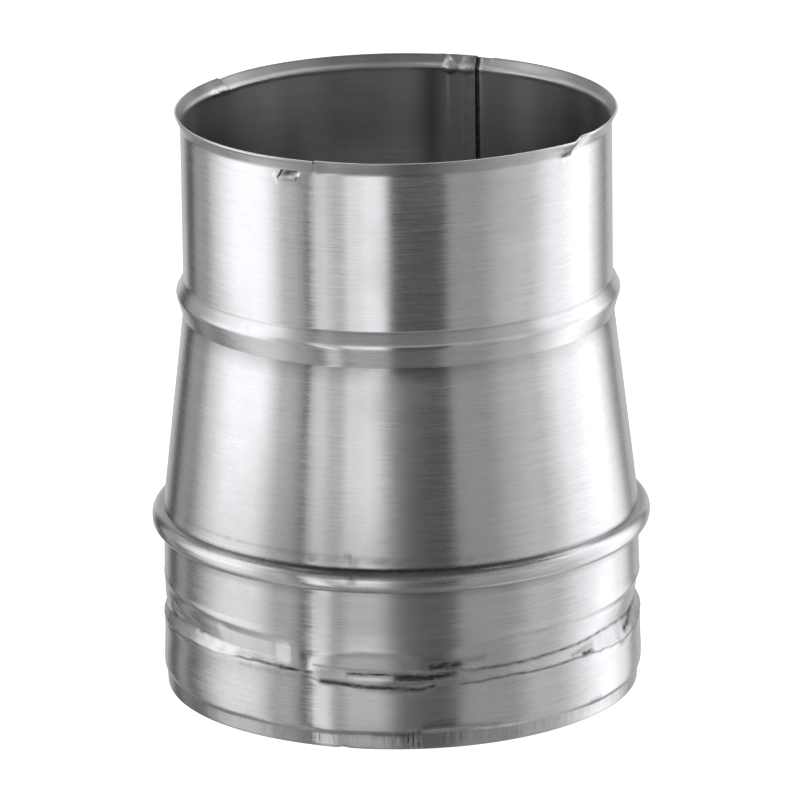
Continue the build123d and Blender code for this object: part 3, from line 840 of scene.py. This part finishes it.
# ---------------------------------------------------------------------------
# Stage: pale floor, a ring of tall soft panels round the object, soft top light
# ---------------------------------------------------------------------------
def floor():
    me = bpy.data.meshes.new("floor")
    b = bmesh.new()
    bmesh.ops.create_circle(b, cap_ends=True, radius=9.0, segments=96)
    b.to_mesh(me)
    b.free()
    ob = bpy.data.objects.new("floor", me)
    SCENE.collection.objects.link(ob)
    m = bpy.data.materials.new("pale_floor")
    m.use_nodes = True
    bs = m.node_tree.nodes["Principled BSDF"]
    bs.inputs["Base Color"].default_value = (0.9, 0.9, 0.9, 1)
    bs.inputs["Roughness"].default_value = 0.9
    bs.inputs["Specular IOR Level"].default_value = 0.0
    bs.inputs["Emission Color"].default_value = (1, 1, 1, 1)
    bs.inputs["Emission Strength"].default_value = 0.82
    me.materials.append(m)
    ob.visible_glossy = False
    ob.visible_shadow = False
    # the ground inside the tube lies in shade
    me = bpy.data.meshes.new("floor_shade")
    b = bmesh.new()
    bmesh.ops.create_circle(b, cap_ends=True, radius=0.0815, segments=96)
    b.to_mesh(me)
    b.free()
    ob = bpy.data.objects.new("floor_shade", me)
    ob.location = (0, 0, 0.0004)
    SCENE.collection.objects.link(ob)
    m = bpy.data.materials.new("shaded_floor")
    m.use_nodes = True
    bs = m.node_tree.nodes["Principled BSDF"]
    bs.inputs["Base Color"].default_value = (0.10, 0.10, 0.10, 1)
    bs.inputs["Roughness"].default_value = 0.9
    bs.inputs["Specular IOR Level"].default_value = 0.0
    me.materials.append(m)
    ob.visible_camera = False
    ob.visible_shadow = False


# Soft panels as the upper tube mirrors them: from phi and its edge softness, to phi and
# its edge softness, strength, how much of that is left low down, how much high up, and
# how far its foot stands to the right
PANELS = [
    (-97.0, 4.0, -76.5, 7.0, 0.60, 0.85, 0.6, 0.0),
    (-69.5, 3.5, -63.5, 2.5, 0.36, 0.85, 0.6, 0.0),
    (-63.5, 2.5, -56.5, 4.0, 0.32, 0.15, 0.6, 0.0),
    (-57.3, 9.0, -32.0, 12.0, 1.16, 0.45, 0.95, 0.8),
    (-51.0, 8.0, -35.5, 9.0, 0.38, 1.15, 0.9, 0.5),
    (-30.5, 4.0, -25.2, 1.6, 0.40, 0.95, 0.4, 0.0),
    (-23.2, 0.8, -18.9, 1.4, 0.90, 1.70, 0.4, 1.4),
    (-19.0, 1.5, -12.0, 4.0, 0.58, 0.62, 0.3, 0.8),
    (-13.2, 4.0, -2.5, 2.6, 0.98, 0.58, 0.16, 0.0),
    (-9.5, 2.5, -3.4, 2.6, 0.36, 0.25, 0.1, 0.0),
    (12.9, 3.0, 27.0, 8.0, 0.33, 1.0, 0.5, 0.0),
    (26.0, 8.0, 41.5, 5.0, 0.56, 0.78, 0.6, 2.2),
    (31.0, 5.0, 41.5, 5.0, 0.14, 0.8, 0.6, 0.0),
    (41.5, 7.0, 66.4, 9.0, 1.27, 0.76, 0.95, 2.2),
    (49.0, 4.0, 63.5, 5.0, 0.04, 7.0, 1.0, 0.0),
    (53.0, 9.0, 62.0, 5.0, 0.36, 0.95, 0.9, 0.0),
    (65.0, 8.0, 73.0, 5.0, 0.34, 1.35, 0.6, 0.0),
    (74.5, 4.0, 97.0, 4.0, 0.55, 0.9, 0.6, 0.0),
]
BASE_GLOW = 0.095
TENT_R = 420.0


def panel_phi(az):
    """phi on the tube whose mirrored ray meets the tent at az (camera side is 0)."""
    x = np.linspace(-90, 90, 1801)
    meet = 2 * x - np.degrees(np.arcsin(75.0 / TENT_R * np.sin(np.radians(x))))
    return np.interp(az, meet, x)


def tent():
    n, hs = 1080, np.array([-1400, -1000, -700, -520, -420, -340, -280, -250, -220, -190, -160, -110, -80, -50, -20, 10, 40, 80, 130,
                            165, 190, 215, 260, 290, 320, 345, 420, 455, 475, 495, 520, 560, 640, 800, 1000.0])
    az = -180.0 + 360.0 * np.arange(n) / n
    ph = panel_phi(az)
    glow = np.zeros((len(hs), n)) + BASE_GLOW
    down = np.full(n, 0.20)
    up = np.full(n, 0.16)
    for a, sa, b, sb, strength, low, high, lean in PANELS:
        rise = smooth(-70, 45, hs)
        at = ph[None, :] - lean * (1 - rise)[:, None]
        win = smooth(a - sa / 2, a + sa / 2, at) * (1 - smooth(b - sb / 2, b + sb / 2, at))
        v = low + (1 - low) * rise
        v = v * (1 + (high - 1) * smooth(150, 330, hs))
        glow += strength * v[:, None] * win
        down += 0.50 * strength * min(low, 0.8) * win[0] * (0.45 if b < 0 and a > -32 else 1.0)
    # the panels end above; the ceiling over them is dim, brighter behind the object
    up += 0.55 * smooth(115, 165, np.abs(az))
    k = smooth(450, 500, hs)[:, None]
    fill = 0.15 * smooth(150, 330, hs)[:, None]
    # a soft strip light over the front draws a fine line along the beads
    strip = 0.62 * smooth(165, 215, hs)[:, None] * smooth(345, 285, hs)[:, None] * smooth(150, 120, np.abs(az))[None, :]
    glow = np.maximum(glow + fill, strip) * (1 - k) + up[None, :] * k
    back = (smooth(120, 165, np.abs(az))[None, :] * smooth(240, 330, hs)[:, None])
    glow = np.maximum(glow, 0.95 * back)
    # two more stand high behind the object, right and left
    for side, level in ((1, 1.9), (-1, 1.0)):
        glow += level * (smooth(112, 128, side * az) * smooth(178, 160, side * az))[None, :] * smooth(425, 480, hs)[:, None]
    k = smooth(-165, -270, hs)[:, None]
    glow = glow * (1 - k) + down[None, :] * k
    a = np.radians(az)
    pts = [(TENT_R * MM * math.sin(x), -TENT_R * MM * math.cos(x), h * MM) for h in hs for x in a]
    fs = [(i * n + j, i * n + (j + 1) % n, (i + 1) * n + (j + 1) % n, (i + 1) * n + j) for i in range(len(hs) - 1) for j in range(n)]
    me = bpy.data.meshes.new("panel_ring")
    me.from_pydata(pts, [], fs)
    at = me.attributes.new("glow", "FLOAT", "POINT")
    at.data.foreach_set("value", glow.astype(np.float32).ravel())
    ob = bpy.data.objects.new("panel_ring", me)
    SCENE.collection.objects.link(ob)
    m = bpy.data.materials.new("panel_light")
    m.use_nodes = True
    nt = m.node_tree
    nt.nodes.clear()
    out = nt.nodes.new("ShaderNodeOutputMaterial")
    em = nt.nodes.new("ShaderNodeEmission")
    em.inputs["Color"].default_value = (0.985, 0.985, 1.0, 1)
    at = nt.nodes.new("ShaderNodeAttribute")
    at.attribute_name = "glow"
    nt.links.new(at.outputs["Fac"], em.inputs["Strength"])
    nt.links.new(em.outputs[0], out.inputs["Surface"])
    m.cycles.emission_sampling = "NONE"
    me.materials.append(m)
    # a second soft panel hangs over the back half
    wide, deep = 36, 20
    x, y = np.meshgrid(np.linspace(-230, 230, wide), np.linspace(5, 215, deep))
    edge = smooth(230, 150, np.abs(x)) * smooth(5, 40, y) * smooth(215, 175, y)
    me2 = bpy.data.meshes.new("panel_top")
    me2.from_pydata([(a * MM, b * MM, 0.5) for a, b in zip(x.ravel(), y.ravel())], [],
                    [(i * wide + j, i * wide + j + 1, (i + 1) * wide + j + 1, (i + 1) * wide + j) for i in range(deep - 1) for j in range(wide - 1)])
    at = me2.attributes.new("glow", "FLOAT", "POINT")
    at.data.foreach_set("value", (2.4 * edge).astype(np.float32).ravel())
    me2.materials.append(m)
    ob2 = bpy.data.objects.new("panel_top", me2)
    SCENE.collection.objects.link(ob2)
    for o in (ob, ob2):
        o.visible_camera = False
        o.visible_diffuse = False
        o.visible_shadow = False
        o.visible_transmission = False


def world():
    w = bpy.data.worlds.new("studio")
    w.use_nodes = True
    SCENE.world = w
    t = Tree(w.node_tree)
    bg = w.node_tree.nodes["Background"]
    up = t.add("ShaderNodeSeparateXYZ")
    t.put(up.inputs[0], t.add("ShaderNodeTexCoord").outputs["Generated"])
    level = t.remap(up.outputs[2], -0.3, 0.3, 0.26, 0.11)
    bg.inputs["Color"].default_value = (1, 1, 1, 1)
    t.put(bg.inputs["Strength"], level)


def lamp():
    li = bpy.data.lights.new("soft_top", "AREA")
    li.shape = "DISK"
    li.size = 2.4
    li.energy = 34.0
    ob = bpy.data.objects.new("soft_top", li)
    ob.location = (-0.3, -0.4, 2.2)
    ob.rotation_euler = (Vector((0, 0, 0.1)) - Vector(ob.location)).to_track_quat("-Z", "Y").to_euler()
    ob.visible_glossy = False
    SCENE.collection.objects.link(ob)


floor()
tent()
world()
lamp()


# ---------------------------------------------------------------------------
# Camera: long lens, looking down 16.7 degrees, a little rolled
# ---------------------------------------------------------------------------
def camera():
    f_px, dist, el, roll = 7700.0, 2.7, math.radians(16.67), math.radians(-0.75)
    target = Vector((0, 0, 0.103))
    back = Vector((0, -math.cos(el), math.sin(el)))
    at = target + back * dist
    right, up = Vector((1, 0, 0)), Vector((0, math.sin(el), math.cos(el)))
    r2 = right * math.cos(roll) + up * math.sin(roll)
    u2 = up * math.cos(roll) - right * math.sin(roll)
    # the target stands slightly left of and above the picture's middle
    aim = target - r2 * (dist * (399.06 - 399.5) / f_px) - u2 * (dist * (399.5 - 393.75) / f_px)
    z = (at - aim).normalized()
    x = (r2 - z * r2.dot(z)).normalized()
    y = z.cross(x)
    cam = bpy.data.cameras.new("camera")
    cam.sensor_fit = "HORIZONTAL"
    cam.sensor_width = 36.0
    cam.lens = f_px * 36.0 / 800.0
    cam.clip_start, cam.clip_end = 0.1, 60.0
    ob = bpy.data.objects.new("camera", cam)
    SCENE.collection.objects.link(ob)
    ob.matrix_world = Matrix(((x.x, y.x, z.x, at.x), (x.y, y.y, z.y, at.y), (x.z, y.z, z.z, at.z), (0, 0, 0, 1)))
    SCENE.camera = ob


camera()
SCENE.view_settings.view_transform = "Standard"
SCENE.view_settings.look = "None"
